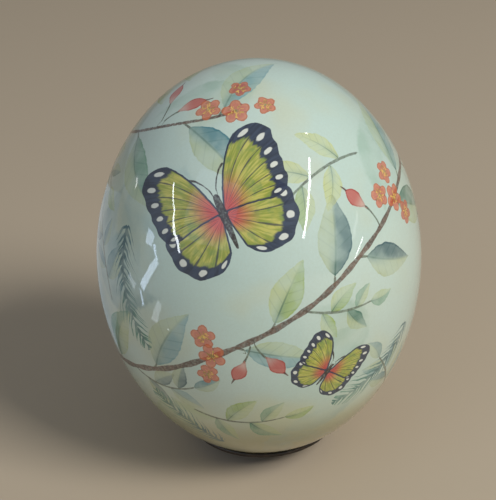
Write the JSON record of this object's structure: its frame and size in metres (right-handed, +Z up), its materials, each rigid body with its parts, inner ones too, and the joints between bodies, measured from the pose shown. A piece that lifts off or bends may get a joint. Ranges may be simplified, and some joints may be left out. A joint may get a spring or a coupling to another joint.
{
  "type": "decorated ostrich egg",
  "caption": "Ostrich egg painted with leafy twigs, blossoms and butterflies under clear lacquer, standing upright in a low dark wooden ring.",
  "frame": {"origin": "on the egg's long axis, in the plane that the ring rests on", "axes": "+Z up along the egg's long axis, -Y towards the viewer of the painted front, +X to that viewer's right"},
  "size_m": [0.125, 0.125, 0.1596],
  "materials": {
    "shell": "pale mint-cream eggshell, painted in watercolour and sealed under gloss lacquer",
    "wood": "turned wood stained a brown that is almost black, satin"
  },
  "bodies": {
    "root": {"egg": "shell", "ring_stand": "wood"}
  },
  "joints": []
}
